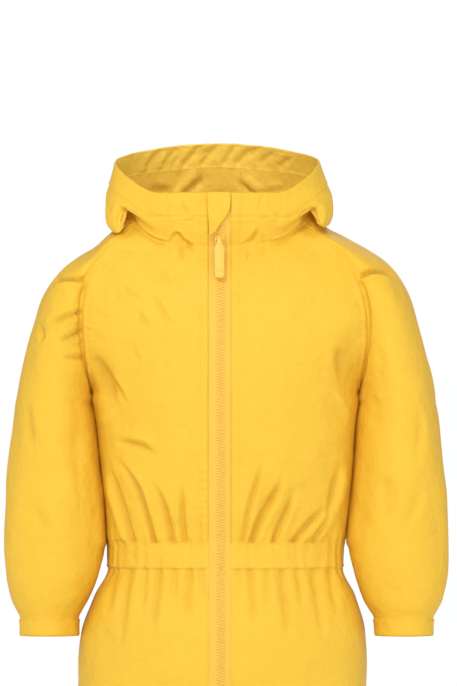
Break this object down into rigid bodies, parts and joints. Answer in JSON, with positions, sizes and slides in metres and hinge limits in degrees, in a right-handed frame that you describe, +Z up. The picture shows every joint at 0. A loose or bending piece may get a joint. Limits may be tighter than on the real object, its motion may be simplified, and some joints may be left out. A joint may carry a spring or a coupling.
{
  "type": "puddle suit",
  "caption": "Child's one-piece waterproof suit with a pushed-back hood, raglan sleeves, front zip and gathered waist, hollow as if worn.",
  "frame": {"origin": "inside the neck, level with the tops of the wearer's shoulders, which hold the suit up", "axes": "+X to the wearer's left, +Y to the wearer's back, +Z up along the wearer's height"},
  "size_m": [0.4663, 0.2369, 0.9853],
  "materials": {
    "coated_cloth": "satin",
    "zip_tape": "matte",
    "zip_teeth": "satin",
    "zip_slider": "satin",
    "pull_tab": "matte"
  },
  "bodies": {
    "suit": {"body_front_right": "coated_cloth", "body_front_left": "coated_cloth", "body_back": "coated_cloth", "sleeve_right": "coated_cloth", "sleeve_left": "coated_cloth", "sleeve_hem_right": "coated_cloth", "sleeve_hem_left": "coated_cloth", "hood_side_right": "coated_cloth", "hood_side_left": "coated_cloth", "hood_centre": "coated_cloth", "hood_hem": "coated_cloth", "waist_casing": "coated_cloth", "trouser_front_right": "coated_cloth", "trouser_front_left": "coated_cloth", "trouser_back_right": "coated_cloth", "trouser_back_left": "coated_cloth", "ankle_hem_right": "coated_cloth", "ankle_hem_left": "coated_cloth", "zip_tape_right": "zip_tape", "zip_tape_left": "zip_tape", "zip_chain": "zip_teeth", "zip_guard": "coated_cloth", "zip_slider": "zip_slider"},
    "pull_tab": {"zip_pull_tab": "pull_tab"}
  },
  "joints": [
    {"name": "tab_swing", "type": "hinge", "parent": "suit", "child": "pull_tab", "pos_m": [-0.0026, -0.0698, -0.005], "axis": [-1, 0, 0], "range_deg": [0, 130]}
  ]
}
